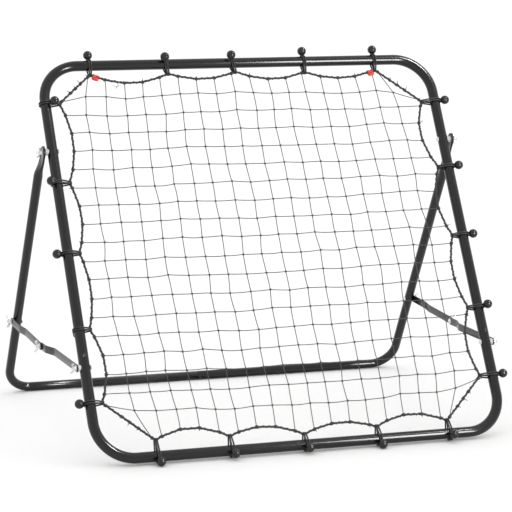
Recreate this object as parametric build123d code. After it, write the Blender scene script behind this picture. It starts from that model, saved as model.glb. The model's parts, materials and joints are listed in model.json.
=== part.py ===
from build123d import *
import os
from math import acos, asin, atan2, cos, degrees, radians, sin

# A ball rebounder: a net held by ball bungees in a hoop of steel tube, which leans back on a
# folding U-shaped stand. Millimetres, +X across, +Y to the back, +Z up. The origin is on the
# floor, under the middle of the object's footprint.

# Front hoop
FRAME_WIDTH = 1000.0      # between the side tubes' centrelines
FRAME_HEIGHT = 980.0      # between the bottom and top tubes' centrelines, along the hoop
FRAME_TILT = 32.0         # degrees that the hoop leans back from upright
FRAME_TUBE = 25.0         # outside diameter
FRAME_CORNER = 90.0       # centreline radius
WALL = 1.2                # tube wall
TOP_SEAM = -38.0          # where the upper tubes meet, across the hoop
BOTTOM_SEAM = -38.0
SIDE_SEAM = 236.0         # where upper and lower tubes meet, up the hoop
JOINT_SCREW = 11.0        # from a seam to its screw
SLEEVE_LENGTH = 90.0
SLEEVE_GAP = 0.1          # sleeve to tube, all round

# Rear stand
STAND_TUBE = 22.0
STAND_WIDTH = 1053.0      # between the legs' centrelines
STAND_DEPTH = 750.0       # from the hoop's bottom tube back to the stand's bottom tube
STAND_CORNER = 60.0
STAND_SEAM = -22.0
STAND_SCREWS = (-14.0, 200.0)
PIVOT_HEIGHT = 758.0      # up the hoop
LEG_PLATE = 3.0           # thickness of a leg's pressed end
LEG_PLATE_WIDTH = 30.0
LEG_PLATE_INSET = 4.0     # the pressed end lies this far inboard of the leg's centreline
LEG_PLATE_DROP = 20.0     # from the pivot down to where the pressing starts to open out
LEG_FLARE = 48.0          # length over which the plate opens out into the tube

# Braces
BAR_WIDTH = 18.0
BAR_THICK = 3.0
BRACE_FRONT = 221.0       # up the hoop
BRACE_REAR = 515.0        # down the leg from the pivot
BRACE_MID = (270.0, -6.0)   # middle joint from the front one: back, and up
FRONT_BAR_OFFSET = 518.5  # a bar's mid-thickness, from the middle of the object
MID_BAR_OFFSET = 530.5
REAR_BAR_OFFSET = 539.3
BAR_GAP = 0.3             # between pieces that turn on each other
SEAT_GAP = 0.02           # between pieces that are pressed together
REAR_JOGGLE = (82.0, 118.0)         # start and end of the rear bar's bend, from the leg
FRONT_JOGGLE = (38.0, 77.0)         # start and end of the front bar's bend, from the middle joint

# Fasteners
BOLT = 5.9                # shank diameter
BOLT_HOLE = 6.08
HEAD_RADIUS = 6.5
HEAD_HEIGHT = 4.2
WASHER_RADIUS = 7.5
WASHER = 1.2
NUT_BASE_RADIUS = 6.2
NUT_TIP_RADIUS = 4.8
NUT_HEIGHT = 7.0
WING_SPAN = 32.0
WING_THICK = 2.8
WING_LENGTH = 13.5        # along the bolt
WING_FOOT = 1.0           # from the boss's base to where a wing starts
WING_TIP_IN = 4.0         # a wing's top corner lies this far in from its widest point
WING_ROOT_IN = 9.0
WING_ROUNDS = (4.0, 2.2, 3.0, 3.0)   # radii of a wing's corners, from its foot round to its root
SCREW_RADIUS = 4.5
SCREW_DOME = 2.2
SCREW_SHANK = 4.0
SCREW_SEAT = 0.6          # how far a screw head's rim lies below the tube's crest
SCREW_DEPTH = 7.0
NUT_CLEARANCE = 0.2       # wing nut to washer
THREAD_PAST_NUT = 3.0     # how far a brace bolt shows beyond its nut's boss
SPACER_RADIUS = 8.0
SPACER_SEAT = 2.5         # how far a spacer's horns reach back round the tube
PIVOT_NUT_TURN = 58.0     # degrees that a nut's wings stand from level
FRONT_NUT_TURN = 60.0
MID_NUT_TURN = 75.0
REAR_NUT_TURN = 100.0

# Net, edge rope and bungees
EDGE_ROPE = 5.0
CORD = 4.0
CORD_GAP = 0.1
BALL_RADIUS = 11.0
BALL_REACH = 26.0         # from a tube's centreline to a ball's centre
NET_THICK = 2.0
NET_INSET = 9.0           # from the edge rope's centreline to the net's own edge
TIE_BEND = 8.0            # radius of the edge rope where a bungee pinches it
SAG_BEND = 110.0          # radius of its bends between bungees
RED_TIE_SHIFT = 14.0      # from a corner bungee along the top
RED_TIE_LENGTH = 12.0
RED_TIE_RADIUS = 4.9
RED_TIE_BORE = 3.5

# Where each bungee sits along its side, and the angle of its ball round the tube: 0 is straight
# out from the hoop, 90 is straight forward.
SILL_HEIGHT = FRAME_TUBE / 2 + CORD_GAP + CORD
FLOOR_BALL = 90 - FRAME_TILT - degrees(asin((SILL_HEIGHT - BALL_RADIUS) / BALL_REACH))
LEVEL_BALL = 90 - FRAME_TILT
TIES = {
    "top": ((-380, 10), (-184, 70), (-12, 65), (168, 15), (355, 20)),
    "bottom": (
        (-361, FLOOR_BALL),
        (-184, LEVEL_BALL),
        (-3, LEVEL_BALL),
        (179, FLOOR_BALL),
        (359, 68),
    ),
    "left": ((135, 8), (312, -95), (500, 5), (677, 45), (882, 135)),
    "right": ((137, 15), (311, 45), (500, 15), (683, 20), (862, 17)),
}

# From a tube's centreline to the edge rope at each bungee, and how much further in the rope
# hangs between each two.
TIE_REACHES = {
    "top": (24, 25, 24, 29, 27),
    "bottom": (38, 34, 25, 30, 32),
    "left": (28, 25, 28, 30, 34),
    "right": (32, 26, 27, 26, 35),
}
SAGS = {
    "top": (24, 17, 19, 19),
    "bottom": (25, 22, 20, 24),
    "left": (23, 16, 18, 22),
    "right": (22, 21, 24, 26),
}

# The footprint runs from the balls in front of the sill to the back of the stand's bottom tube.
FRONT_REACH = BALL_REACH + BALL_RADIUS
BACK_REACH = STAND_DEPTH + STAND_TUBE / 2
SILL_Y = (FRONT_REACH - BACK_REACH) / 2

TILT = radians(FRAME_TILT)
HOOP = Plane(
    origin=(0, SILL_Y, SILL_HEIGHT),
    x_dir=(1, 0, 0),
    z_dir=(0, -cos(TILT), sin(TILT)),
)


def on_hoop(x, up, forward=0.0):
    """A point of the hoop: across it, up it and forward of its plane."""
    return HOOP.from_local_coords(Vector(x, up, forward))


PIVOT = on_hoop(0, PIVOT_HEIGHT)
FOOT = Vector(0, SILL_Y + STAND_DEPTH, STAND_TUBE / 2)
LEG_DIRECTION = (FOOT - PIVOT).normalized()
LEG_LENGTH = (FOOT - PIVOT).length
STAND = Plane(
    origin=PIVOT,
    x_dir=(1, 0, 0),
    z_dir=Vector(1, 0, 0).cross(-LEG_DIRECTION),
)
BRACE_FRONT_PIN = on_hoop(0, BRACE_FRONT)
BRACE_MID_PIN = BRACE_FRONT_PIN + Vector(0, BRACE_MID[0], BRACE_MID[1])
BRACE_REAR_PIN = PIVOT + LEG_DIRECTION * BRACE_REAR

SIDES = (("left", -1), ("right", 1))


def across(point, offset):
    """The same point of the side view, moved across to the given offset."""
    return Vector(offset, point.Y, point.Z)


def rod(start, end, radius):
    """A round bar from one point to another."""
    axis = end - start
    return Plane(origin=start, z_dir=axis) * extrude(Circle(radius), axis.length)


def cross_pin(point, inner, outer, radius, side):
    """A round bar across the object, between two offsets from its middle."""
    return rod(across(point, side * inner), across(point, side * outer), radius)


def cross_hole(point, middle, side):
    """The cutter of a bolt hole through whatever lies near an offset."""
    return cross_pin(point, middle - 2 * FRAME_TUBE, middle + 2 * FRAME_TUBE, BOLT_HOLE / 2, side)


def swept(path, section):
    """A section carried along a path from its start."""
    return sweep(Plane(origin=path @ 0, z_dir=path % 0) * section, path)


def pipe(path, diameter):
    """A tube with the common wall, along a path."""
    return swept(path, Circle(diameter / 2) - Circle(diameter / 2 - WALL))


# Front hoop

def hoop_tube(side, corner_up, seam_x, seam_up):
    """One L-shaped corner tube, from its seam in a cross tube to its seam in a side tube."""
    edge = side * FRAME_WIDTH / 2
    points = [(seam_x, corner_up), (edge, corner_up), (edge, seam_up)]
    path = HOOP * FilletPolyline(*points, radius=FRAME_CORNER)
    tube = pipe(path, FRAME_TUBE)
    for pin in (PIVOT, BRACE_FRONT_PIN):
        tube -= cross_hole(pin, FRAME_WIDTH / 2, side)
    return tube - hoop_screw_holes()


def hoop_joints():
    """Centre and direction of each joint of the hoop, with its screw's place."""
    half = FRAME_WIDTH / 2
    return {
        "top": ((TOP_SEAM, FRAME_HEIGHT), (1, 0), (TOP_SEAM + JOINT_SCREW, FRAME_HEIGHT)),
        "bottom": ((BOTTOM_SEAM, 0), (1, 0), (BOTTOM_SEAM + JOINT_SCREW, 0)),
        "left": ((-half, SIDE_SEAM), (0, 1), (-half, SIDE_SEAM + JOINT_SCREW)),
        "right": ((half, SIDE_SEAM), (0, 1), (half, SIDE_SEAM + JOINT_SCREW)),
    }


def hoop_screw_holes():
    """The holes that the joint screws pass through, as one cutter."""
    reach = FRAME_TUBE
    holes = []
    for _, _, (x, up) in hoop_joints().values():
        holes.append(rod(on_hoop(x, up, -reach), on_hoop(x, up, reach), SCREW_SHANK / 2 + SLEEVE_GAP))
    return Compound(children=holes)


def hoop_sleeve(centre, direction):
    """The inner tube that joins two corner tubes."""
    reach = SLEEVE_LENGTH / 2
    start = on_hoop(centre[0] - direction[0] * reach, centre[1] - direction[1] * reach)
    end = on_hoop(centre[0] + direction[0] * reach, centre[1] + direction[1] * reach)
    outside = FRAME_TUBE / 2 - WALL - SLEEVE_GAP
    sleeve = rod(start, end, outside) - rod(start, end, outside - WALL)
    for _, side in SIDES:
        sleeve -= cross_hole(BRACE_FRONT_PIN, FRAME_WIDTH / 2, side)
    return sleeve - hoop_screw_holes()


def domed_screw(place, normal, tube):
    """A round-headed screw that stands on a tube's crest and goes through its front wall."""
    seat = Plane(origin=place + normal * (tube / 2 - SCREW_SEAT), z_dir=normal)
    head = seat * extrude(Circle(SCREW_RADIUS), SCREW_DOME + SCREW_SEAT)
    head = fillet(head.edges().group_by(Axis(place, normal))[-1], SCREW_DOME * 0.8)
    axis = Vector(1, 0, 0) if abs(place.X) < FRAME_WIDTH / 4 else HOOP.y_dir
    head -= rod(place - axis * tube, place + axis * tube, tube / 2 + SEAT_GAP)
    tip = place + normal * (tube / 2 - SCREW_DEPTH)
    return head + rod(tip, place + normal * (tube / 2 + SCREW_DOME / 2), SCREW_SHANK / 2)


# Pivots and fasteners

def round_bolt(point, inner, outer, side):
    """A bolt across a side: its domed head at the inner offset, its shank out to the outer one."""
    head = cross_pin(point, inner - HEAD_HEIGHT, inner, HEAD_RADIUS, side)
    crown = head.faces().sort_by(Axis.X)[0 if side > 0 else -1]
    head = fillet(crown.edges(), HEAD_HEIGHT * 0.7)
    return head + cross_pin(point, inner - HEAD_HEIGHT / 2, outer, BOLT / 2, side)


def washer(point, inner, side):
    """A flat washer whose inner face is at the given offset."""
    return cross_pin(point, inner, inner + WASHER, WASHER_RADIUS, side) - cross_hole(point, inner, side)


def wing_nut(point, inner, side, turn):
    """A wing nut on a bolt across the object: a tapered boss and two rounded wings."""
    face = Plane(origin=across(point, side * inner), x_dir=(0, 1, 0), z_dir=(side, 0, 0))
    boss = extrude(Circle(NUT_BASE_RADIUS), NUT_HEIGHT, taper=degrees(tapering()))
    half = WING_SPAN / 2
    outline = [
        (0, WING_FOOT),
        (NUT_BASE_RADIUS, WING_FOOT),
        (half - 1.5, WING_LENGTH * 0.50),
        (half, WING_LENGTH * 0.86),
        (half - WING_TIP_IN, WING_LENGTH),
        (half - WING_ROOT_IN, WING_LENGTH * 0.62),
        (0, NUT_HEIGHT * 0.75),
    ]
    rounds = [0, 0, *WING_ROUNDS, 0]
    wing = make_face(FilletPolyline(*outline, radius=rounds, close=True))
    wing = extrude(Plane.XZ * wing, WING_THICK / 2, both=True)
    nut = boss + wing + mirror(wing, about=Plane.YZ)
    nut -= extrude(Circle(BOLT_HOLE / 2), WING_LENGTH)
    return face * Rot(0, 0, turn) * nut


def tapering():
    """The boss's taper from base to tip, in radians."""
    return asin((NUT_BASE_RADIUS - NUT_TIP_RADIUS) / NUT_HEIGHT)


def saddle_spacer(height, outer, side):
    """A spacer at a height up a side tube, cut to sit on it, and flat at the outer offset."""
    point = on_hoop(0, height)
    edge = side * FRAME_WIDTH / 2
    inner = FRAME_WIDTH / 2 + FRAME_TUBE / 2 - SPACER_SEAT
    ring = cross_pin(point, inner, outer, SPACER_RADIUS, side) - cross_hole(point, inner, side)
    below = on_hoop(edge, height - FRAME_TUBE)
    above = on_hoop(edge, height + FRAME_TUBE)
    return ring - rod(below, above, FRAME_TUBE / 2 + SEAT_GAP)


# Rear stand

def leg_plate_offset():
    """The offset of the middle of a leg's pressed end."""
    return STAND_WIDTH / 2 - LEG_PLATE_INSET


def leg_top(side):
    """The pressed end of a leg: a round-ended plate that opens out into the tube."""
    offset = side * leg_plate_offset()
    outline = Circle(LEG_PLATE_WIDTH / 2)
    outline += Pos(0, -LEG_PLATE_DROP / 2) * Rectangle(LEG_PLATE_WIDTH, LEG_PLATE_DROP)
    side_view = Plane(
        origin=across(PIVOT, offset),
        x_dir=STAND.z_dir,
        z_dir=STAND.z_dir.cross(-LEG_DIRECTION),
    )
    plate = side_view * extrude(outline, LEG_PLATE / 2, both=True)
    neck = across(PIVOT + LEG_DIRECTION * LEG_PLATE_DROP, offset)
    full = across(PIVOT + LEG_DIRECTION * (LEG_PLATE_DROP + LEG_FLARE), side * STAND_WIDTH / 2)
    flat_end = Plane(origin=neck, x_dir=(1, 0, 0), z_dir=LEG_DIRECTION)
    round_end = Plane(origin=full, x_dir=(1, 0, 0), z_dir=LEG_DIRECTION)
    pressed = RectangleRounded(LEG_PLATE, LEG_PLATE_WIDTH, LEG_PLATE * 0.47)
    return plate + loft([flat_end * pressed, round_end * Circle(STAND_TUBE / 2)])


def stand_leg(side):
    """One half of the stand: a leg with its pressed end, and its share of the bottom tube."""
    edge = side * STAND_WIDTH / 2
    start = LEG_PLATE_DROP + LEG_FLARE
    points = [(edge, -start), (edge, -LEG_LENGTH), (STAND_SEAM, -LEG_LENGTH)]
    path = STAND * FilletPolyline(*points, radius=STAND_CORNER)
    leg = pipe(path, STAND_TUBE) + leg_top(side)
    for pin in (PIVOT, BRACE_REAR_PIN):
        leg -= cross_hole(pin, STAND_WIDTH / 2, side)
    return leg - stand_screw_holes()


def stand_screw_holes():
    """The holes for the two screws of the bottom tube's sleeve, as one cutter."""
    holes = []
    for x in STAND_SCREWS:
        start = across(FOOT, x)
        holes.append(rod(start, start + STAND.z_dir * STAND_TUBE, SCREW_SHANK / 2 + SLEEVE_GAP))
    return Compound(children=holes)


def stand_sleeve():
    """The inner tube that joins the stand's halves, pinned on both sides of the seam."""
    start = across(FOOT, STAND_SCREWS[0] - SLEEVE_LENGTH / 2)
    end = across(FOOT, STAND_SCREWS[1] + SLEEVE_LENGTH / 3)
    outside = STAND_TUBE / 2 - WALL - SLEEVE_GAP
    return rod(start, end, outside) - rod(start, end, outside - WALL) - stand_screw_holes()


# Braces

def bar(outline, start, end, side):
    """A flat bar from one pin to another, bent across the object to an outline.

    The outline lists distance from the first pin and mid-thickness offset."""
    run = end - start
    up = Vector(1, 0, 0).cross(run).normalized()
    plan = Plane(origin=across(start, 0), x_dir=run.normalized(), z_dir=up)
    if plan.y_dir.X * side < 0:
        plan = Plane(origin=across(start, 0), x_dir=run.normalized(), z_dir=-up)
    inside = [(along, offset - BAR_THICK / 2) for along, offset in outline]
    outside = [(along, offset + BAR_THICK / 2) for along, offset in reversed(outline)]
    strip = plan * extrude(make_face(Polyline(*inside, *outside, close=True)), BAR_WIDTH / 2, both=True)
    length = run.length
    mask_plane = Plane(origin=across(start, 0), x_dir=run.normalized(), z_dir=(1, 0, 0))
    mask = Pos(length / 2, 0) * SlotOverall(length + BAR_WIDTH, BAR_WIDTH)
    strip &= mask_plane * extrude(mask, STAND_WIDTH, both=True)
    for pin in (start, end):
        strip -= cross_hole(pin, FRONT_BAR_OFFSET, side)
    return strip


def front_bar(side):
    """The bar from the side tube back to the middle joint."""
    length = (BRACE_MID_PIN - BRACE_FRONT_PIN).length
    outline = [
        (-BAR_WIDTH, FRONT_BAR_OFFSET),
        (length - FRONT_JOGGLE[1], FRONT_BAR_OFFSET),
        (length - FRONT_JOGGLE[0], MID_BAR_OFFSET),
        (length + BAR_WIDTH, MID_BAR_OFFSET),
    ]
    return bar(outline, BRACE_FRONT_PIN, BRACE_MID_PIN, side)


def rear_bar(side):
    """The bar from the leg forward to the middle joint, outside the front bar there."""
    length = (BRACE_MID_PIN - BRACE_REAR_PIN).length
    mid = MID_BAR_OFFSET + BAR_THICK + BAR_GAP
    outline = [
        (-BAR_WIDTH, REAR_BAR_OFFSET),
        (REAR_JOGGLE[0], REAR_BAR_OFFSET),
        (REAR_JOGGLE[1], mid),
        (length + BAR_WIDTH, mid),
    ]
    return bar(outline, BRACE_REAR_PIN, BRACE_MID_PIN, side)


# Net, edge rope and bungees

def side_points(side_name, place, inset):
    """Points of the rope along one side: each tie, and three sag points to the next tie."""
    spots = [spot for spot, _ in TIES[side_name]]
    reaches = TIE_REACHES[side_name]
    points = []
    for i, sag in enumerate(SAGS[side_name]):
        points.append((place(spots[i], reaches[i] + inset), TIE_BEND))
        for share in (0.25, 0.5, 0.75):
            spot = spots[i] + (spots[i + 1] - spots[i]) * share
            depth = reaches[i] + (reaches[i + 1] - reaches[i]) * share + sag * 4 * share * (1 - share)
            points.append((place(spot, depth + inset), SAG_BEND))
    points.append((place(spots[-1], reaches[-1] + inset), TIE_BEND))
    return points


def net_outline(inset):
    """The rope's round, or the net's own edge further in: points with their bend radii."""
    half = FRAME_WIDTH / 2
    points = side_points("left", lambda up, depth: (-half + depth, up), inset)
    points += side_points("top", lambda x, depth: (x, FRAME_HEIGHT - depth), inset)
    points += reversed(side_points("right", lambda up, depth: (half - depth, up), inset))
    points += reversed(side_points("bottom", lambda x, depth: (x, depth), inset))
    return points


def outline_path(inset):
    """The round as a closed line of straight runs and tangent arcs."""
    points = net_outline(inset)
    return FilletPolyline(*[p for p, _ in points], radius=[r for _, r in points], close=True)


def edge_rope():
    """The rope round the net."""
    return swept(HOOP * outline_path(0), Circle(EDGE_ROPE / 2))


def net_panel():
    """A thin plate where the twine net hangs."""
    return HOOP * extrude(make_face(outline_path(NET_INSET)), NET_THICK / 2, both=True)


def tie_planes(side_name):
    """For each bungee of a side: a plane square to the tube, x straight out, y forward."""
    half = FRAME_WIDTH / 2
    layout = {
        "top": (lambda s: (s, FRAME_HEIGHT), HOOP.y_dir),
        "bottom": (lambda s: (s, 0), -HOOP.y_dir),
        "left": (lambda s: (-half, s), -HOOP.x_dir),
        "right": (lambda s: (half, s), HOOP.x_dir),
    }
    place, outward = layout[side_name]
    planes = []
    for (spot, angle), reach in zip(TIES[side_name], TIE_REACHES[side_name]):
        plane = Plane(origin=on_hoop(*place(spot)), x_dir=outward, z_dir=outward.cross(HOOP.z_dir))
        planes.append((plane, angle, reach))
    return planes


def bungee_path(angle, reach):
    """The run of one strand, seen along the tube: from the ball round the tube and the edge rope,
    and back to the ball on the other side, where its end lies beside its start."""
    wrap = FRAME_TUBE / 2 + CORD / 2 + CORD_GAP
    pinch = EDGE_ROPE / 2 + CORD / 2 + CORD_GAP
    rope = Vector(-reach, 0)
    ball = Vector(BALL_REACH, 0).rotate(Axis.Z, angle)
    turn = 180 - degrees(acos((wrap - pinch) / reach))
    runs = []
    for way in (1, -1):
        end = ball + Vector(0, way * CORD * 0.6).rotate(Axis.Z, angle)
        bearing = way * degrees(atan2(end.Y, end.X))
        leave = bearing + degrees(acos(wrap / end.length))
        sight = end - rope
        straight = degrees(atan2(sight.Y * way, sight.X)) + degrees(acos(pinch / sight.length))
        runs.append((end, leave, turn) if leave < turn else (end, None, straight))
    (start, leave, front), (end, arrive, back) = runs
    pieces = []
    near = start
    if leave is not None:
        arc = CenterArc((0, 0), wrap, leave, front - leave)
        pieces += [Line(near, arc @ 0), arc]
        near = arc @ 1
    bight = CenterArc(rope, pinch, front, 360 - front - back)
    pieces += [Line(near, bight @ 0), bight]
    near = bight @ 1
    if arrive is not None:
        arc = CenterArc((0, 0), wrap, -back, back - arrive)
        pieces += [Line(near, arc @ 0), arc]
        near = arc @ 1
    pieces.append(Line(near, end))
    return Wire([piece.edge() for piece in pieces]), ball


def bungee_loop(angle, reach, shift):
    """One elastic strand, at a shift along the tube, cut off where it enters the ball."""
    path, ball = bungee_path(angle, reach)
    strand = Pos(0, 0, shift) * swept(path, Circle(CORD / 2))
    return strand - Pos(ball.X, ball.Y) * Sphere(BALL_RADIUS)


def bungee_loops(side_name):
    """The paired strands of a side's bungees."""
    strands = []
    for plane, angle, reach in tie_planes(side_name):
        for way in (-1, 1):
            strands.append(plane * bungee_loop(angle, reach, way * (CORD + CORD_GAP) / 2))
    return strands


def bungee_balls(side_name):
    """The balls of a side's bungees."""
    balls = []
    for plane, angle, _ in tie_planes(side_name):
        centre = (BALL_REACH * cos(radians(angle)), BALL_REACH * sin(radians(angle)))
        balls.append(plane * Pos(*centre) * Sphere(BALL_RADIUS))
    return balls


def red_ties():
    """The red plastic ties beside the top corner bungees, clasped on the edge rope."""
    ties = []
    for i, way in ((0, 1), (-1, -1)):
        run = way * (TIES["top"][i + way][0] - TIES["top"][i][0])
        slope = (SAGS["top"][i] * 3 + TIE_REACHES["top"][i + way] - TIE_REACHES["top"][i]) / run
        place = on_hoop(
            TIES["top"][i][0] + way * RED_TIE_SHIFT,
            FRAME_HEIGHT - TIE_REACHES["top"][i] - slope * RED_TIE_SHIFT,
        )
        along = HOOP.x_dir - HOOP.y_dir * slope * way
        reach = along.normalized() * RED_TIE_LENGTH / 2
        barrel = rod(place - reach, place + reach, RED_TIE_RADIUS)
        ties.append(barrel - rod(place - reach, place + reach, RED_TIE_BORE))
    return ties


# Assembly

def write(name, shape):
    """Store one node."""
    solids = list(shape) if isinstance(shape, list) else [shape]
    node = Compound(children=[solid for item in solids for solid in item.solids()])
    export_step(node, f"parts/{name}.step")


def write_hoop():
    """The four corner tubes, their sleeves and their screws."""
    rows = (("upper", FRAME_HEIGHT, TOP_SEAM), ("lower", 0, BOTTOM_SEAM))
    for row, corner_up, seam_x in rows:
        for name, side in SIDES:
            write(f"{row}_{name}_tube", hoop_tube(side, corner_up, seam_x, SIDE_SEAM))
    screws = []
    for name, (centre, direction, (x, up)) in hoop_joints().items():
        write(f"{name}_joint_sleeve", hoop_sleeve(centre, direction))
        screws.append(domed_screw(on_hoop(x, up), HOOP.z_dir, FRAME_TUBE))
    write("frame_joint_screws", screws)


def write_stand():
    """The two legs, their sleeve and its screws."""
    for name, side in SIDES:
        write(f"{name}_leg", stand_leg(side))
    write("stand_joint_sleeve", stand_sleeve())
    write("stand_joint_screws", [domed_screw(across(FOOT, x), STAND.z_dir, STAND_TUBE) for x in STAND_SCREWS])


def write_pivots(name, side):
    """The bolt, spacer, washer and wing nut that hold a leg to a side tube."""
    tube_inside = FRAME_WIDTH / 2 - FRAME_TUBE / 2
    spacer_face = leg_plate_offset() - LEG_PLATE / 2 - BAR_GAP
    washer_face = leg_plate_offset() + LEG_PLATE / 2 + BAR_GAP
    nut_face = washer_face + WASHER + NUT_CLEARANCE
    write(f"{name}_pivot_bolt", round_bolt(PIVOT, tube_inside, nut_face + WING_LENGTH, side))
    write(f"{name}_pivot_spacer", saddle_spacer(PIVOT_HEIGHT, spacer_face, side))
    write(f"{name}_pivot_washer", washer(PIVOT, washer_face, side))
    write(f"{name}_pivot_wing_nut", wing_nut(PIVOT, nut_face, side, PIVOT_NUT_TURN))


def write_brace(name, side):
    """The two bars of a brace, with their bolts, washers and wing nuts."""
    write(f"{name}_front_bar", front_bar(side))
    write(f"{name}_rear_bar", rear_bar(side))
    spacer_face = FRONT_BAR_OFFSET - BAR_THICK / 2 - BAR_GAP
    write(f"{name}_brace_front_spacer", saddle_spacer(BRACE_FRONT, spacer_face, side))
    mid = MID_BAR_OFFSET + BAR_THICK + BAR_GAP
    joints = (
        ("brace_front", BRACE_FRONT_PIN, FRONT_BAR_OFFSET, FRAME_WIDTH / 2 - FRAME_TUBE / 2, FRONT_NUT_TURN),
        ("brace_mid", BRACE_MID_PIN, mid, None, MID_NUT_TURN),
        ("brace_rear", BRACE_REAR_PIN, REAR_BAR_OFFSET, STAND_WIDTH / 2 - STAND_TUBE / 2, REAR_NUT_TURN),
    )
    for joint, pin, offset, head_face, turn in joints:
        washer_face = offset + BAR_THICK / 2 + BAR_GAP
        nut_face = washer_face + WASHER + NUT_CLEARANCE
        tip = nut_face + NUT_HEIGHT + THREAD_PAST_NUT
        write(f"{name}_{joint}_washer", washer(pin, washer_face, side))
        write(f"{name}_{joint}_wing_nut", wing_nut(pin, nut_face, side, turn))
        if head_face is None:
            inner_face = MID_BAR_OFFSET - BAR_THICK / 2
            write(f"{name}_brace_mid_bolt", round_bolt(pin, inner_face, inner_face + BAR_THICK, side))
            write(f"{name}_brace_mid_stud", cross_pin(pin, offset - BAR_THICK / 2, tip, BOLT / 2, side))
        else:
            write(f"{name}_{joint}_bolt", round_bolt(pin, head_face, tip, side))


def write_soft_goods():
    """The net, its edge rope, its ties and the bungees."""
    write("net", net_panel())
    write("edge_rope", edge_rope())
    write("red_ties", red_ties())
    for side_name in ("top", "bottom", "left", "right"):
        write(f"{side_name}_bungee_loops", bungee_loops(side_name))
        write(f"{side_name}_bungee_balls", bungee_balls(side_name))


os.makedirs("parts", exist_ok=True)
write_hoop()
write_stand()
for side_label, side_sign in SIDES:
    write_pivots(side_label, side_sign)
    write_brace(side_label, side_sign)
write_soft_goods()
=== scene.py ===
import json
from math import acos, asin, atan2, ceil, cos, degrees, pi, radians, sin, sqrt, tau

import bmesh
import bpy
import numpy as np
from mathutils import Matrix, Vector


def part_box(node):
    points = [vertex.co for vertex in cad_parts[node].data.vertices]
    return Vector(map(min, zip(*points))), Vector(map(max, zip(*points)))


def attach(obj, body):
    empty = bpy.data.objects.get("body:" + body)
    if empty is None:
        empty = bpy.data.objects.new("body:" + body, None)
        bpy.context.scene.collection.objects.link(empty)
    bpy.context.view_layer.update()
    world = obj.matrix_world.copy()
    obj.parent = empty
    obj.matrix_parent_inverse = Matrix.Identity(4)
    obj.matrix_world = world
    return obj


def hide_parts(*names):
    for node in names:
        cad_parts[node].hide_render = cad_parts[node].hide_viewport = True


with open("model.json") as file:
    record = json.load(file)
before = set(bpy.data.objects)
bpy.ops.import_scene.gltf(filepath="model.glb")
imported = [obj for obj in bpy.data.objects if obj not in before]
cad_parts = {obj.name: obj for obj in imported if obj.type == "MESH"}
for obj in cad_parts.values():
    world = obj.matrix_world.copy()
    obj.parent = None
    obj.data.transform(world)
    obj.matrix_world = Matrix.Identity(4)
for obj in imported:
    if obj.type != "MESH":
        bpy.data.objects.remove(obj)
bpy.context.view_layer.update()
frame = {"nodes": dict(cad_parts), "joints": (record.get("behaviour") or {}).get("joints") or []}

# A ball rebounder: a knotted net in a hoop of black steel tube, on a folding stand.
# Places come from the frame, in metres. Sizes are written in millimetres, times MM.

MM = 0.001
SIDES = (("left", -1), ("right", 1))

# Hoop and stand

HOOP_WIDTH = 1000          # between the side tubes' centrelines
HOOP_HEIGHT = 980          # between the bottom and top tubes' centrelines
HOOP_TUBE = 25
STAND_TUBE = 22
STAND_CORNER = 60
LEG_SEAM = -22             # where the two halves of the stand meet
PLATE_HALF = 15            # half the width of a leg's pressed end
PLATE_HALF_THICK = 1.5
PLATE_RIM = 1.6            # how much the rims of a pressed end stand above its middle
PLATE_INSET = 4
PLATE_DROP = 20
PLATE_FLARE = 48

# Braces

BAR_HALF_WIDTH = 9
BAR_THICK = 3
BAR_EDGE = 0.5
BAR_GAP = 0.3
FRONT_BAR_OFFSET = 518.5   # mid-thickness, from the middle of the object
MID_BAR_OFFSET = 530.5
REAR_BAR_OFFSET = 539.3
FRONT_JOGGLE = (77, 38)    # where the front bar's bend starts and ends, before the middle joint
REAR_JOGGLE = (82, 118)    # where the rear bar's bend starts and ends, after the leg

# Fasteners

BOLT_RADIUS = 2.95
THREAD_PITCH = 1.0
THREAD_DEPTH = 0.45
THREAD_LENGTH = 22         # from a bolt's tip
THREAD_PAST_NUT = 3        # how far a brace bolt shows beyond its nut's boss
HEAD_RADIUS = 6.5
HEAD_HEIGHT = 4.2
WASHER_RADIUS = 7.5
WASHER = 1.2
NUT_CLEARANCE = 0.2
NUT_HEIGHT = 7.0
NUT_BASE = 6.2
NUT_TIP = 4.8
WING_REACH = 15.6
WING_LENGTH = 13.3
WING_ROOT = 3.6            # where a wing starts, out from the axis and up from the base
WING_TIP = 3.4             # half the height of a wing at its tip
NUT_TURNS = {"pivot": 58, "brace_front": 60, "brace_mid": 75, "brace_rear": 100}

# Net, edge rope and bungees

ROWS = 18
COLUMNS = 18
FIRST_ROW = 108            # up the hoop
ROW_SPACING = 46.4
FIRST_COLUMN = -390        # across the hoop
COLUMN_SPACING = 45.9
CORNER_SHARE = 0.07        # how far along a corner's rope its last twines are tied
CORNER_LASHES = (0.36, 0.52, 0.68)      # how far along it the lashings between them are
TWINE_RADIUS = 1.0
TWINE_LAYER = 0.5          # rows pass in front of the hoop's plane, and columns behind it
ROW_DROP = 0.7             # how far a row sags between two knots
KNOT_RADIUS = 3.3
KNOT_TWINE = 1.15          # a knot's twine is a little fuller than a run's
LASH_TURNS = 2.5
LASH_LENGTH = 5.5
LASH_TWINE = 0.95
ROPE_RADIUS = 2.5
STRAND_LAY = 19            # rope to one turn of its strands
STRAND_RADIUS = 1.4
STRAND_OFFSET = 1.3        # from the rope's middle to a strand's
LACING_LAY = 15            # rope to one turn of the lacing
LACING_RADIUS = 0.7
CORD_RADIUS = 2.0
CORD_GAP = 0.1
BALL_RADIUS = 11
BALL_REACH = 26
NECK_RADIUS = 4.7
SILL_HEIGHT = 16.6         # the hoop's bottom centreline above the floor
LEVEL_BALL = 58            # the angle of a ball that sits level with its tube, in front of it
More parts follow.
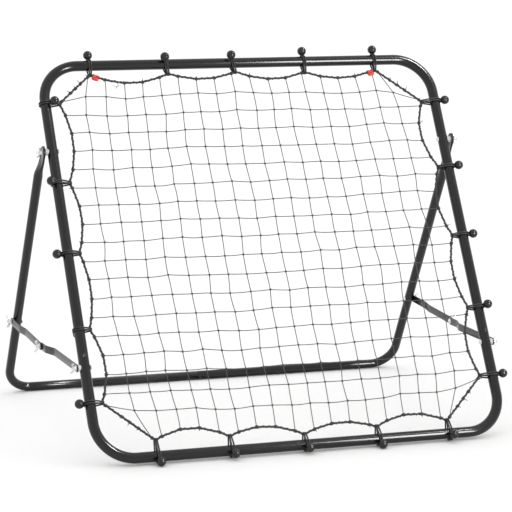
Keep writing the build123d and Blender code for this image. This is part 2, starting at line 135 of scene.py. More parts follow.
BALL_DROP = SILL_HEIGHT - BALL_RADIUS      # how far below the tube a ball lies on the floor
FLOOR_BALL = LEVEL_BALL - degrees(asin(BALL_DROP / BALL_REACH))

# Where each bungee sits along its side, and the angle of its ball round the tube: 0 is straight
# out from the hoop, 90 is straight forward.
TIES = {
    "left": ((135, 8), (312, -95), (500, 5), (677, 45), (882, 135)),
    "top": ((-380, 10), (-184, 70), (-12, 65), (168, 15), (355, 20)),
    "right": ((137, 15), (311, 45), (500, 15), (683, 20), (862, 17)),
    "bottom": (
        (-361, FLOOR_BALL), (-184, LEVEL_BALL), (-3, LEVEL_BALL), (179, FLOOR_BALL), (359, 68),
    ),
}
# From a tube's centreline to the edge rope at each bungee, and how much further in the rope
# hangs between each two.
TIE_REACHES = {
    "left": (28, 25, 28, 30, 34),
    "top": (24, 25, 24, 29, 27),
    "right": (32, 26, 27, 26, 35),
    "bottom": (38, 34, 25, 30, 32),
}
SAGS = {
    "left": (23, 16, 18, 22),
    "top": (24, 17, 19, 19),
    "right": (22, 21, 24, 26),
    "bottom": (25, 22, 20, 24),
}
LEANS = {-184: -10, -12: -12}       # how far a ball of the top side has slid along its tube
PULLS = {"left": 1.0, "top": 1.05, "right": 1.0, "bottom": 0.85}     # each side's pull on the net

# Screws and clips

HOOP_SCREWS = ((-27, HOOP_HEIGHT), (-27, 0), (-HOOP_WIDTH / 2, 247), (HOOP_WIDTH / 2, 247))
STAND_SCREWS = (-14, 200)
CLIP_SHIFT = 13            # from a corner bungee along the top

# Studio

CAMERA_PLACE = (-1.8853, -5.223, 1.4158)
CAMERA_YAW, CAMERA_PITCH, CAMERA_ROLL = radians(19.819), radians(10.421), radians(0.883)
CAMERA_LENS = 163.87
SURROUND = 1.1             # strength of the white all round
ROOM_DIM = 0.25            # how much darker the front of the room is
FLOOR_REACH = 60
# Each softbox: its place and target, its width and height, in metres, and its power in watts.
SOFTBOXES = {
    "low_right_softbox": ((1.35, -2.6, 1.1), (0.1, 0, 0.45), 0.5, 1.5, 62),
    "high_right_softbox": ((7.5, -4.5, 12.55), (0, 0, 0.4), 1.7, 1.7, 1100),
}

draws = np.random.default_rng(11)


# The frame's own places

def joint_place(name):
    """Where a joint's axis crosses the middle of the object."""
    return Vector(next(j["pos_m"] for j in frame["joints"] if j["name"] == name))


def side_view(place, offset):
    """A point of the side view, moved across to an offset in millimetres."""
    return np.array((offset * MM, place[1], place[2]))


tube_low, tube_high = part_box("lower_left_tube")
leg_low, leg_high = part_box("left_leg")
SILL = np.array((0, tube_low.y + HOOP_TUBE / 2 * MM, tube_low.z + HOOP_TUBE / 2 * MM))
FOOT = Vector((0, leg_high.y - STAND_TUBE / 2 * MM, leg_low.z + STAND_TUBE / 2 * MM))
STAND_HALF = -leg_low.x / MM - STAND_TUBE / 2
PIVOT = joint_place("stand_fold")
PINS = {
    "pivot": PIVOT,
    "brace_front": joint_place("left_front_bar_turn"),
    "brace_mid": joint_place("left_brace_mid_nut_spin"),
    "brace_rear": joint_place("left_rear_bar_turn"),
}
TILT = atan2(PIVOT.y - SILL[1], PIVOT.z - SILL[2])
ACROSS = np.array((1.0, 0.0, 0.0))
UP = np.array((0.0, sin(TILT), cos(TILT)))
FORWARD = np.array((0.0, -cos(TILT), sin(TILT)))
LEG_DOWN = np.array((FOOT - PIVOT).normalized())
LEG_LENGTH = (FOOT - PIVOT).length / MM
LEG_FRONT = np.cross(ACROSS, -LEG_DOWN)


def on_hoop(flat, forward=0.0):
    """Points of the hoop's plane, across and up in millimetres, as places in the frame."""
    flat = np.atleast_2d(np.asarray(flat, float))
    forward = np.broadcast_to(np.asarray(forward, float), len(flat))
    return SILL + (flat[:, :1] * ACROSS + flat[:, 1:2] * UP + forward[:, None] * FORWARD) * MM


# Skins

class Skin:
    """The points, faces and pattern coordinates of a piece while it is built."""

    def __init__(self):
        self.points = []
        self.faces = []
        self.patterns = []
        self.count = 0

    def add(self, rings, round_trip=False):
        """A skin over rings of points. Its pattern runs once round, and in metres along."""
        rings = np.asarray(rings, float)
        steps, sides = rings.shape[:2]
        middles = rings.mean(1)
        lengths = np.linalg.norm(np.diff(middles, axis=0, append=middles[:1]), axis=1)
        along = np.concatenate([[0.0], np.cumsum(lengths)])
        last = steps if round_trip else steps - 1
        for i in range(last):
            near = self.count + i * sides
            far = self.count + (i + 1) % steps * sides
            for j in range(sides):
                k = (j + 1) % sides
                self.faces.append((near + j, near + k, far + k, far + j))
                u, v = j / sides, (j + 1) / sides
                low, high = along[i], along[i + 1]
                self.patterns += [(u, low), (v, low), (v, high), (u, high)]
        if not round_trip:
            last_ring = self.count + (steps - 1) * sides
            for start, reach in ((self.count, 0), (last_ring, along[steps - 1])):
                self.faces.append(tuple(range(start, start + sides)))
                self.patterns += [(0.0, reach)] * sides
        self.points.append(rings.reshape(-1, 3))
        self.count += steps * sides

    def make(self, name, material, body, slot, *stands_for):
        """The finished piece, on its body."""
        mesh = bpy.data.meshes.new(name)
        mesh.from_pydata(np.concatenate(self.points).tolist(), [], self.faces)
        pattern = mesh.uv_layers.new(name="pattern")
        pattern.data.foreach_set("uv", np.array(self.patterns, np.float32).ravel())
        shell = bmesh.new()
        shell.from_mesh(mesh)
        bmesh.ops.recalc_face_normals(shell, faces=shell.faces)
        shell.to_mesh(mesh)
        shell.free()
        mesh.polygons.foreach_set("use_smooth", [True] * len(mesh.polygons))
        mesh.materials.append(material)
        piece = bpy.data.objects.new(name, mesh)
        bpy.context.scene.collection.objects.link(piece)
        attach(piece, body)
        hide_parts(*stands_for)
        return piece


def directions(line, closed=False):
    """Unit vectors along a line, at its points."""
    if closed:
        runs = np.roll(line, -1, 0) - np.roll(line, 1, 0)
    else:
        runs = np.gradient(line, axis=0)
    return runs / np.linalg.norm(runs, axis=1, keepdims=True)


def frames(line, reference, closed=False):
    """At each point of a line: the side nearest to a reference, and the side square to it."""
    run = directions(line, closed)
    first = reference - (run @ reference)[:, None] * run
    first /= np.linalg.norm(first, axis=1, keepdims=True)
    return first, np.cross(run, first)


def round_rings(line, radius, sides, reference, closed=False):
    """Rings of a round cord along a line. Its radius is in millimetres, one or one per point."""
    first, second = frames(line, reference, closed)
    angles = tau * np.arange(sides) / sides
    spokes = np.cos(angles)[None, :, None] * first[:, None]
    spokes = spokes + np.sin(angles)[None, :, None] * second[:, None]
    radii = np.broadcast_to(np.asarray(radius, float), len(line)) * MM
    return line[:, None] + radii[:, None, None] * spokes


def cord_rings(line, radius, sides, reference):
    """Rings of a cord with blunt, rounded ends."""
    run = directions(line)
    lead = np.array((0.85, 0.6, 0.3)) * radius * MM
    head = line[0] - run[0] * lead[:, None]
    tail = line[-1] + run[-1] * lead[::-1, None]
    whole = np.concatenate([head, line, tail])
    taper = [0.35, 0.8, 0.97]
    radii = np.array(taper + [1.0] * len(line) + taper[::-1]) * radius
    return round_rings(whole, radii, sides, reference)


def turned(centre, axis, profile, sides):
    """Rings of a turned piece: a profile of distance along an axis and radius, in millimetres."""
    axis = np.asarray(axis, float)
    helper = UP if abs(axis @ UP) < 0.9 else ACROSS
    first = helper - (axis @ helper) * axis
    first /= np.linalg.norm(first)
    second = np.cross(axis, first)
    angles = tau * np.arange(sides) / sides
    spokes = np.cos(angles)[:, None] * first + np.sin(angles)[:, None] * second
    return np.array([centre + (along * axis + radius * spokes) * MM for along, radius in profile])


def evenly(line, step, closed=False):
    """A line's points laid out again at an even step, given in the line's own unit."""
    line = np.asarray(line, float)
    if closed:
        line = np.vstack([line, line[:1]])
    lengths = np.concatenate([[0.0], np.cumsum(np.linalg.norm(np.diff(line, axis=0), axis=1))])
    count = max(2, ceil(lengths[-1] / step))
    spots = np.linspace(0, lengths[-1], count + 1)
    spread = np.stack([np.interp(spots, lengths, values) for values in line.T], 1)
    return spread[:-1] if closed else spread


def eased(share):
    """A share from 0 to 1 that starts and stops gently."""
    share = np.clip(share, 0, 1)
    return share * share * (3 - 2 * share)


# Materials

def linear(hex_colour):
    """An sRGB hex value as the linear colour that a shader takes."""
    channels = [int(hex_colour[i:i + 2], 16) / 255 for i in (1, 3, 5)]
    return [c / 12.92 if c <= 0.04045 else ((c + 0.055) / 1.055) ** 2.4 for c in channels] + [1.0]


def add_node(tree, kind, values=None, links=None, **settings):
    """A node with its settings, its input values and its links, which are input: (node, output)."""
    node = tree.nodes.new(kind)
    for setting, value in settings.items():
        setattr(node, setting, value)
    for socket, value in (values or {}).items():
        node.inputs[socket].default_value = value
    for socket, (source, output) in (links or {}).items():
        tree.links.new(source.outputs[output], node.inputs[socket])
    return node


def finish(name, **values):
    """A new material: its node tree and its shader, with the shader's plain values set."""
    material = bpy.data.materials.new(name)
    material.use_nodes = True
    tree = material.node_tree
    shader = tree.nodes["Principled BSDF"]
    for socket, value in values.items():
        shader.inputs[socket.replace("_", " ")].default_value = value
    return material, tree, shader


def per_mm(size):
    """The scale of a pattern, in metres, whose detail is that many millimetres wide."""
    return 1 / (size * MM)


def dress(tree, shader, pattern, colours, gloss=None, raised=None, depth=0.0):
    """Dresses a shader from a pattern: two hex colours, its roughness from low to high, and the
    relief of the raised pattern, over a depth in millimetres."""
    ends = {6: linear(colours[0]), 7: linear(colours[1])}
    shade = add_node(tree, "ShaderNodeMix", ends, {0: pattern}, data_type="RGBA")
    tree.links.new(shade.outputs[2], shader.inputs["Base Color"])
    if gloss:
        ends = {"To Min": gloss[0], "To Max": gloss[1]}
        spread = add_node(tree, "ShaderNodeMapRange", ends, {"Value": pattern})
        tree.links.new(spread.outputs[0], shader.inputs["Roughness"])
    if raised:
        relief = add_node(
            tree, "ShaderNodeBump", {"Strength": 0.7, "Distance": depth * MM}, {"Height": raised}
        )
        tree.links.new(relief.outputs["Normal"], shader.inputs["Normal"])


def clouded(name, size, detail, colours, gloss=None, grain=None, depth=0.0, **values):
    """A material whose colour and gloss drift in clouds of a size in millimetres. Where a grain
    is given, as its size, it also has a fine relief."""
    material, tree, shader = finish(name, **values)
    place = add_node(tree, "ShaderNodeTexCoord")
    pattern = {"Scale": per_mm(size), "Detail": detail}
    clouds = add_node(tree, "ShaderNodeTexNoise", pattern, {"Vector": (place, "Object")})
    raised = None
    if grain:
        pattern = {"Scale": per_mm(grain), "Detail": 2.0}
        specks = add_node(tree, "ShaderNodeTexNoise", pattern, {"Vector": (place, "Object")})
        raised = (specks, "Fac")
    dress(tree, shader, (clouds, "Fac"), colours, gloss, raised, depth)
    return material


def enamelled_strip():
    """Dark enamelled strip steel: it pales at a low angle, and has faint rolling streaks."""
    material, tree, shader = finish("dark_enamelled_strip_steel", IOR=1.5, Specular_IOR_Level=0.4)
    place = add_node(tree, "ShaderNodeTexCoord")
    long_way = {"Scale": (1.0, 0.04, 1.0)}
    stretch = add_node(tree, "ShaderNodeMapping", long_way, {"Vector": (place, "Object")})
    pattern = {"Scale": per_mm(1.4), "Detail": 3.0}
    streaks = add_node(tree, "ShaderNodeTexNoise", pattern, {"Vector": (stretch, "Vector")})
    pattern = (streaks, "Fac")
    dress(tree, shader, pattern, ("#19191b", "#262628"), (0.14, 0.24), pattern, 0.03)
    return material


def laid_twine(name, dark, light, lay, depth):
    """Twisted fibre: slanting strands that repeat once per lay, in millimetres."""
    material, tree, shader = finish(name, IOR=1.48, Roughness=0.62)
    place = add_node(tree, "ShaderNodeUVMap", uv_map="pattern")
    along = {"Scale": (1.0, per_mm(lay), 1.0)}
    slant = add_node(tree, "ShaderNodeMapping", along, {"Vector": (place, "UV")})
    parts = add_node(tree, "ShaderNodeSeparateXYZ", links={"Vector": (slant, "Vector")})
    links = {0: (parts, "X"), 1: (parts, "Y")}
    phase = add_node(tree, "ShaderNodeMath", links=links, operation="ADD")
    links = {0: (phase, "Value")}
    turn = add_node(tree, "ShaderNodeMath", {1: 3 * tau}, links, operation="MULTIPLY")
    strands = add_node(tree, "ShaderNodeMath", links={0: (turn, "Value")}, operation="SINE")
    lift = add_node(tree, "ShaderNodeMapRange", {"From Min": -1.0}, {"Value": (strands, "Value")})
    pattern = (lift, "Result")
    # The colour follows the strand relief: the dark colour is painted shade in the grooves, the
    # light colour a painted highlight on the crests.
    dress(tree, shader, pattern, (dark, light), raised=pattern, depth=depth)
    return material


def braided_elastic():
    """Braided sheath over rubber: two sets of strands that cross, with polyester's soft gloss."""
    material, tree, shader = finish("braided_elastic", IOR=1.5, Roughness=0.5)
    place = add_node(tree, "ShaderNodeUVMap", uv_map="pattern")
    heights = []
    for way in (1, -1):
        along = {"Scale": (way, per_mm(9), 1.0)}
        spread = add_node(tree, "ShaderNodeMapping", along, {"Vector": (place, "UV")})
        parts = add_node(tree, "ShaderNodeSeparateXYZ", links={"Vector": (spread, "Vector")})
        links = {0: (parts, "X"), 1: (parts, "Y")}
        phase = add_node(tree, "ShaderNodeMath", links=links, operation="ADD")
        links = {0: (phase, "Value")}
        turn = add_node(tree, "ShaderNodeMath", {1: 4 * tau}, links, operation="MULTIPLY")
        strands = add_node(tree, "ShaderNodeMath", links={0: (turn, "Value")}, operation="SINE")
        heights.append((strands, "Value"))
    links = {0: heights[0], 1: heights[1]}
    weave = add_node(tree, "ShaderNodeMath", links=links, operation="MULTIPLY")
    lift = add_node(tree, "ShaderNodeMapRange", {"From Min": -1.0}, {"Value": (weave, "Value")})
    pattern = (lift, "Result")
    # The colour follows the weave's relief: darker where it is low, which is painted shade, and
    # paler where it stands high, which is a painted highlight.
    dress(tree, shader, pattern, ("#0c0c0d", "#232325"), raised=pattern, depth=0.25)
    return material


# Polyester powder coat, sprayed and baked on steel: a glossy black over faint orange peel.
COAT = clouded(
    "powder_coated_steel", 60, 3.0, ("#0e0e0f", "#161617"), (0.10, 0.16), 2.2, 0.05,
    IOR=1.5, Specular_IOR_Level=0.42,
)
STRIP = enamelled_strip()
# Barrel-plated zinc: a pale, slightly uneven silver.
ZINC = clouded(
    "bright_zinc_plated_steel", 4, 4.0, ("#cfd2d4", "#eceef0"), (0.22, 0.42), 0.5, 0.02,
    Metallic=1.0,
)
# Plain drawn tube: a dull grey with small dark marks.
SLEEVE = clouded(
    "plain_drawn_steel", 1.5, 3.0, ("#77787a", "#9b9c9e"), (0.35, 0.5), Metallic=1.0
)
# Phosphated screws with a film of oil: near black, with a small sharp gloss.
SCREW = clouded(
    "black_phosphated_steel", 1.0, 3.0, ("#39393b", "#4d4d50"), (0.12, 0.2), Metallic=0.85
)
# Injection-moulded nylon: a milky off-white with a soft sheen.
NYLON = clouded("natural_nylon", 3, 2.0, ("#c4c4c0", "#dcdcd8"), (0.4, 0.55), IOR=1.53)
# Laid polyethylene and polyester: matt fibre, with painted shade in the grooves between the strands
# and a painted highlight on the crest of each turn of a strand.
TWINE = laid_twine("charcoal_polyethylene_twine", "#262625", "#52524f", 5, 0.3)
ROPE = laid_twine("black_polyester_strand", "#141415", "#434344", 4, 0.25)
PALE_TWINE = laid_twine("pale_polyester_thread", "#9a9a9a", "#c8c8c6", 3, 0.2)
ELASTIC = braided_elastic()
# Injection-moulded plastic from a polished mould: an even, glossy colour with faint flow marks.
BALL_PLASTIC = clouded(
    "black_moulded_plastic", 7, 2.0, ("#0b0b0c", "#141415"), (0.09, 0.16), IOR=1.49
)
RED_PLASTIC = clouded(
    "red_moulded_plastic", 7, 2.0, ("#cf2a20", "#e03a2c"), (0.28, 0.42), IOR=1.49
)
# Matt background paper: an even white.
PAPER = clouded("matt_background_paper", 900, 2.0, ("#f8f8f8", "#fcfcfb"), Roughness=0.9)


# Net and edge rope

def side_place(side, spot, depth):
    """A point beside a tube: a spot along that side of the hoop, and a depth in from the tube."""
    if side in ("left", "right"):
        way = -1 if side == "left" else 1
        return np.array((way * (HOOP_WIDTH / 2 - depth), spot))
    return np.array((spot, depth if side == "bottom" else HOOP_HEIGHT - depth))


def rope_depth(side, spot):
    """How far in from the tube the edge rope hangs, at a spot along that side."""
    ties = [tie for tie, _ in TIES[side]]
    reaches = TIE_REACHES[side]
    i = int(np.clip(np.searchsorted(ties, spot) - 1, 0, len(ties) - 2))
    share = np.clip((spot - ties[i]) / (ties[i + 1] - ties[i]), 0, 1)
    sag = SAGS[side][i] * 4 * share * (1 - share)
    return reaches[i] + (reaches[i + 1] - reaches[i]) * share + sag


def twine_spots(side):
    """Where the net's twines meet one side, as spots along it."""
    if side in ("left", "right"):
        return FIRST_ROW + ROW_SPACING * np.arange(ROWS)
    return FIRST_COLUMN + COLUMN_SPACING * np.arange(COLUMNS)


def rope_corners(side):
    """The corners of the edge rope along one side: its bungees, and the twines that pull it in."""
    ties = [tie for tie, _ in TIES[side]]
    spots = [spot for spot in twine_spots(side) if min(abs(spot - tie) for tie in ties) > 9]
    spots = sorted(ties + [spot for spot in spots if ties[0] < spot < ties[-1]])
    return [side_place(side, spot, rope_depth(side, spot)) for spot in spots]


def rope_line():
    """The edge rope's centreline, round the net, as points of the hoop's plane."""
    corners = rope_corners("left") + rope_corners("top")
    corners += rope_corners("right")[::-1] + rope_corners("bottom")[::-1]
    line = evenly(corners, 2.0, closed=True)
    for _ in range(3):
        line = (np.roll(line, 1, 0) + 2 * line + np.roll(line, -1, 0)) / 4
    return line


ROPE_LINE = rope_line()


def rope_at(place):
    """The nearest point of the edge rope to a place, and the rope's direction there."""
    i = int(np.argmin(np.linalg.norm(ROPE_LINE - place, axis=1)))
    run = ROPE_LINE[(i + 2) % len(ROPE_LINE)] - ROPE_LINE[i - 2]
    return ROPE_LINE[i], run / np.linalg.norm(run)


def corner_run(side, end):
    """A corner's straight run of edge rope: from a side's last bungee to the top or bottom one."""
    level, index = ("bottom", 0) if end == "low" else ("top", -1)
    way = 0 if side == "left" else -1
    start = side_place(side, TIES[side][index][0], TIE_REACHES[side][index])
    return start, side_place(level, TIES[level][way][0], TIE_REACHES[level][way])


def twine_end(side, number):
    """Where a twine is tied to the edge rope."""
    spot = twine_spots(side)[number]
    ties = [tie for tie, _ in TIES[side]]
    if ties[0] - 4 < spot < ties[-1] + 4:
        return rope_at(side_place(side, spot, rope_depth(side, spot)))[0]
    if side in ("left", "right"):
        start, end = corner_run(side, "low" if number == 0 else "high")
        return rope_at(start + (end - start) * CORNER_SHARE)[0]
    nearest = "left" if number == 0 else "right"
    start, end = corner_run(nearest, "low" if side == "bottom" else "high")
    return rope_at(start + (end - start) * (1 - CORNER_SHARE))[0]


def net_ends():
    """The tied ends of all twines, for each side of the net."""
    counts = {"left": ROWS, "right": ROWS, "top": COLUMNS, "bottom": COLUMNS}
    return {side: [twine_end(side, i) for i in range(count)] for side, count in counts.items()}


def net_knots(ends):
    """Where the twines cross, each knot drawn evenly by its neighbours and by the tied ends."""
    size = ROWS * COLUMNS
    balance = np.zeros((size, size))
    pull = np.zeros((size, 2))
    for row in range(ROWS):
        for column in range(COLUMNS):
            here = row * COLUMNS + column
            beyond = {
                "left": column == 0, "right": column == COLUMNS - 1,
                "bottom": row == 0, "top": row == ROWS - 1,
            }
            steps = {"left": -1, "right": 1, "bottom": -COLUMNS, "top": COLUMNS}
            for side, outside in beyond.items():
                if outside:
                    number = row if side in ("left", "right") else column
                    balance[here, here] += PULLS[side]
                    pull[here] += PULLS[side] * ends[side][number]
                else:
                    balance[here, here] += 1
                    balance[here, here + steps[side]] -= 1
    return np.linalg.solve(balance, pull).reshape(ROWS, COLUMNS, 2)


def wander(knots):
    """Small uneven shifts of the knots: broad waves in the hang, and a little from knot to knot."""
    x, y = knots[..., 0], knots[..., 1]
    shifts = draws.normal(0, 0.9, knots.shape)
    for reach in (420, 260, 170, 120):
        for axis in (0, 1):
            angle, start = draws.uniform(0, tau, 2)
            wave = np.sin((x * cos(angle) + y * sin(angle)) * tau / reach + start)
            shifts[..., axis] += 1.1 * wave
    return knots + shifts


def bowed(start, end, drop):
    """A run of twine between two knots, a little slack."""
    spread = draws.normal(0, 0.45, 2) - np.array((0, drop))
    shares = np.array((0.25, 0.5, 0.75))
    return start + (end - start) * shares[:, None] + spread * (4 * shares * (1 - shares))[:, None]


def twine_line(stops, drop):
    """One twine through its stops, as points of the hoop's plane."""
    line = [stops[0]]
    for start, end in zip(stops, stops[1:]):
        line += list(bowed(start, end, drop))
        line.append(end)
    return np.array(line)


def pretzel(place, radius, thickness, turn):
    """A pulled overhand knot: one closed loop that passes through itself."""
    t = tau * np.arange(22) / 22
    x = np.sin(t) + 2 * np.sin(2 * t)
    y = np.cos(t) - 2 * np.cos(2 * t)
    loop = np.stack([x, y, -0.9 * np.sin(3 * t)], 1) * (radius - thickness) / 3
    flat = loop[:, :2] @ np.array(((cos(turn), sin(turn)), (-sin(turn), cos(turn))))
    line = on_hoop(place + flat, loop[:, 2])
    return round_rings(line, thickness, 5, FORWARD, closed=True)


def lashing(place, run, turns, reach, radius, thickness):
    """Turns of twine round the edge rope, at a place on it."""
    steps = int(turns * 10)
    angle = np.linspace(0, turns * tau, steps + 1) + draws.uniform(0, tau)
    square = np.array((-run[1], run[0]))
    along = np.linspace(-reach / 2, reach / 2, steps + 1)
    flat = place + along[:, None] * run + (radius * np.cos(angle))[:, None] * square
    line = on_hoop(flat, radius * np.sin(angle))
    return cord_rings(line, thickness, 5, run[0] * ACROSS + run[1] * UP)


def loose_end(place, outward, length):
    """The cut end of a lashing's twine, which stands off the rope."""
    share = np.linspace(0, 1, 5)
    curl = draws.normal(0, 0.35, 2)
    square = np.array((-outward[1], outward[0]))
    flat = place + length * (share[:, None] * outward + (share ** 2)[:, None] * curl[0] * square)
    line = on_hoop(flat, ROPE_RADIUS + length * share * 0.3 * curl[1])
    return cord_rings(line, 0.8, 5, ACROSS * outward[1] - UP * outward[0])


def make_net():
    """The knotted twine net, with its lashings to the edge rope."""
    net = Skin()
    ends = net_ends()
    knots = wander(net_knots(ends))
    for row in range(ROWS):
        stops = [ends["left"][row], *knots[row], ends["right"][row]]
        line = twine_line(stops, ROW_DROP)
        net.add(cord_rings(on_hoop(line, TWINE_LAYER), TWINE_RADIUS, 6, FORWARD))
    for column in range(COLUMNS):
        stops = [ends["bottom"][column], *knots[:, column], ends["top"][column]]
        line = twine_line(stops, 0.0)
        net.add(cord_rings(on_hoop(line, -TWINE_LAYER), TWINE_RADIUS, 6, FORWARD))
    for place in knots.reshape(-1, 2):
        net.add(pretzel(place, KNOT_RADIUS, KNOT_TWINE, draws.uniform(0, tau)))
    for side, places in ends.items():
        for number, place in enumerate(places):
            spot, run = rope_at(place)
            net.add(lashing(spot, run, LASH_TURNS, LASH_LENGTH, ROPE_RADIUS + 1.1, LASH_TWINE))
            if number % 3 == 0:
                net.add(loose_end(spot, np.array((-run[1], run[0])), draws.uniform(5, 9)))
    for side, _ in SIDES:
        for end in ("low", "high"):
            start, stop = corner_run(side, end)
            for share in CORNER_LASHES:
                spot, run = rope_at(start + (stop - start) * share)
                net.add(lashing(spot, run, 2.2, 6.0, ROPE_RADIUS + 1.0, 0.9))
                net.add(loose_end(spot, np.array((-run[1], run[0])), draws.uniform(6, 11)))
    net.make("knotted_twine_net", TWINE, "front_frame", "net_twine", "net")


def helix(line, turns, radius, start, reference, jitter=0.0):
    """A strand laid round a closed line, as many whole turns as it is given."""
    first, second = frames(line, reference, closed=True)
    angle = start + tau * turns * np.arange(len(line)) / len(line)
    angle = angle + jitter * np.sin(np.arange(len(line)) * tau * 9 / len(line) + start)
    offset = np.cos(angle)[:, None] * first + np.sin(angle)[:, None] * second
    return line + radius * MM * offset


def make_edge_rope():
    """The edge rope: three laid strands, and the thin lacing that binds the net's border to it."""
    rope = Skin()
    flat = evenly(ROPE_LINE, 2.4, closed=True)
    centre = on_hoop(flat)
    length = len(flat) * 2.4
    for number in range(3):
        turns = round(length / STRAND_LAY)
        strand = helix(centre, turns, STRAND_OFFSET, number * tau / 3, FORWARD)
        rope.add(round_rings(strand, STRAND_RADIUS, 6, FORWARD, closed=True), round_trip=True)
    rope.make("laid_edge_rope", ROPE, "front_frame", "rope", "edge_rope")
    lacing = Skin()
    fine = on_hoop(evenly(ROPE_LINE, 1.6, closed=True))
    turns = round(length / LACING_LAY)
    line = helix(fine, turns, ROPE_RADIUS + 0.6, 0.4, FORWARD, jitter=1.4)
    lacing.add(round_rings(line, LACING_RADIUS, 5, FORWARD, closed=True), round_trip=True)
    lacing.make("border_lacing", TWINE, "front_frame", "net_twine")


# Bungees

def bearing(angle):
    """A unit vector at an angle in degrees."""
    return np.array((cos(radians(angle)), sin(radians(angle))))


def arc(centre, radius, start, end):
    """Points of an arc between two angles in degrees."""
    angles = np.radians(np.linspace(start, end, max(2, ceil(abs(end - start) / 8)) + 1))
    return np.asarray(centre) + radius * np.stack([np.cos(angles), np.sin(angles)], 1)


def half_route(angle, reach, way):
    """Half of a strand, seen along the tube, from the ball to the edge rope, round one side of the
    tube. Also the angle at which it comes to the rope."""
    wrap = HOOP_TUBE / 2 + CORD_RADIUS + CORD_GAP
    pinch = ROPE_RADIUS + CORD_RADIUS + CORD_GAP
    turn = 180 - degrees(acos((wrap - pinch) / reach))
    ball = BALL_REACH * bearing(way * angle)
    neck = (BALL_REACH - BALL_RADIUS - 1.0) * bearing(way * angle)
    leave = way * angle + 16
    if leave < turn:
        route = [ball, *arc((0, 0), wrap, leave, turn)]
    else:
        sight = neck - np.array((-reach, 0))
        turn = degrees(atan2(sight[1], sight[0])) + degrees(acos(pinch / np.linalg.norm(sight)))
        route = [ball, neck]
    return [(x, way * y) for x, y in route], turn


def strand_route(angle, reach):
    """A whole strand, seen along the tube: x straight out from the hoop, y forward."""
    pinch = ROPE_RADIUS + CORD_RADIUS + CORD_GAP
    front, front_turn = half_route(angle, reach, 1)
    back, back_turn = half_route(angle, reach, -1)
    bight = arc((-reach, 0), pinch, front_turn, 360 - back_turn)
    route = evenly(front + list(bight) + back[::-1], 2.2)
    for _ in range(2):
        route[1:-1] = (route[:-2] + 2 * route[1:-1] + route[2:]) / 4
    return route


def tie_places(side):
    """Each bungee of a side: its place on the tube, the ways out and along, its ball's angle, and
    the reach from the tube to the edge rope."""
    outward = {"left": -ACROSS, "right": ACROSS, "top": UP, "bottom": -UP}[side]
    for (spot, angle), reach in zip(TIES[side], TIE_REACHES[side]):
        centre = on_hoop(side_place(side, spot, 0))[0]
        lean = LEANS.get(spot, 0) * ACROSS if side == "top" else 0 * ACROSS
        yield centre, outward, np.cross(outward, FORWARD), angle, reach, lean


def make_bungees(side):
    """The elastic strands and the balls along one side of the hoop."""
    loops = Skin()
    balls = Skin()
    for centre, outward, along, angle, reach, lean in tie_places(side):
        route = strand_route(angle, reach)
        from_rope = np.linalg.norm(route - np.array((-reach, 0)), axis=1)
        from_ball = np.linalg.norm(route - BALL_REACH * bearing(angle), axis=1)
        open_up = eased((from_rope - 4) / (reach - 16)) * eased((from_ball - 12) / 9)
        spread, drift = draws.uniform(0.15, 0.7), draws.uniform(-0.5, 0.5)
        for way in (-1, 1):
            shift = way * (CORD_RADIUS + 0.05 + spread * open_up) + drift * open_up
            line = centre + (route[:, :1] * outward + route[:, 1:] * FORWARD) * MM
            slide = from_rope / (from_rope + from_ball)
            line += (shift[:, None] * along + slide[:, None] * lean) * MM
            loops.add(cord_rings(line, CORD_RADIUS, 8, along))
        axis = bearing(angle)[0] * outward + bearing(angle)[1] * FORWARD
        ball = BALL_REACH * axis + lean
        balls.add(turned(centre + ball * MM, ball / np.linalg.norm(ball), ball_profile(), 28))
    loops.make(f"{side}_elastic_strands", ELASTIC, "front_frame", "elastic", f"{side}_bungee_loops")
    node = f"{side}_bungee_balls"
    balls.make(f"{side}_moulded_balls", BALL_PLASTIC, "front_frame", "balls", node)


def ball_profile():
    """A ball in two moulded halves, with a fine joint line and a collar round the elastic."""
    profile = []
    angles = (3, 10, 20, 32, 44, 56, 68, 78, 86, 88.6, 90, 91.4, 94, 102, 112, 122, 132, 142, 150)
    for angle in angles:
        radius = BALL_RADIUS - (0.22 if angle == 90 else 0.0)
        profile.append((radius * cos(radians(angle)), radius * sin(radians(angle))))
    profile += [(-10.4, 5.0), (-11.6, NECK_RADIUS), (-11.9, NECK_RADIUS - 0.3)]
    return profile + [(-11.9, NECK_RADIUS - 0.9), (-10.5, NECK_RADIUS - 1.1)]


# Fasteners

def outward(side):
    """The way out across the object, on one side."""
    return np.array((float(side), 0.0, 0.0))


def make_bolt(name, body, place, inner, tip, side, headed=True):
    """A bolt across a side, with its thread cut up to the tip, under a domed head or as a stud."""
    reach = tip - inner
    if headed:
        angles = [radians(angle) for angle in (3, 15, 30, 45, 60, 75, 86)]
        profile = [(-HEAD_HEIGHT * cos(angle) ** 0.8, HEAD_RADIUS * sin(angle)) for angle in angles]
        profile += [(-0.5, HEAD_RADIUS), (-0.1, HEAD_RADIUS - 0.2), (0, HEAD_RADIUS - 0.6)]
        profile.append((0, BOLT_RADIUS))
        ridge = max(0.5, reach - THREAD_LENGTH)
    else:
        profile = [(0, 0.3), (0, BOLT_RADIUS - 0.1)]
        ridge = 0.5
    while ridge < reach - 1.5:
        profile.append((ridge, BOLT_RADIUS))
        profile.append((ridge + 0.3 * THREAD_PITCH, BOLT_RADIUS - THREAD_DEPTH))
        profile.append((ridge + 0.5 * THREAD_PITCH, BOLT_RADIUS - THREAD_DEPTH))
        profile.append((ridge + 0.85 * THREAD_PITCH, BOLT_RADIUS))
        ridge += THREAD_PITCH
    if headed:
        profile.append((ridge, BOLT_RADIUS))
    profile += [(reach - 0.5, BOLT_RADIUS - 0.3), (reach, BOLT_RADIUS - 0.9), (reach, 0.3)]
    bolt = Skin()
    bolt.add(turned(side_view(place, side * inner), outward(side), profile, 24))
    bolt.make(f"{name}_turned", ZINC, body, "zinc", name)


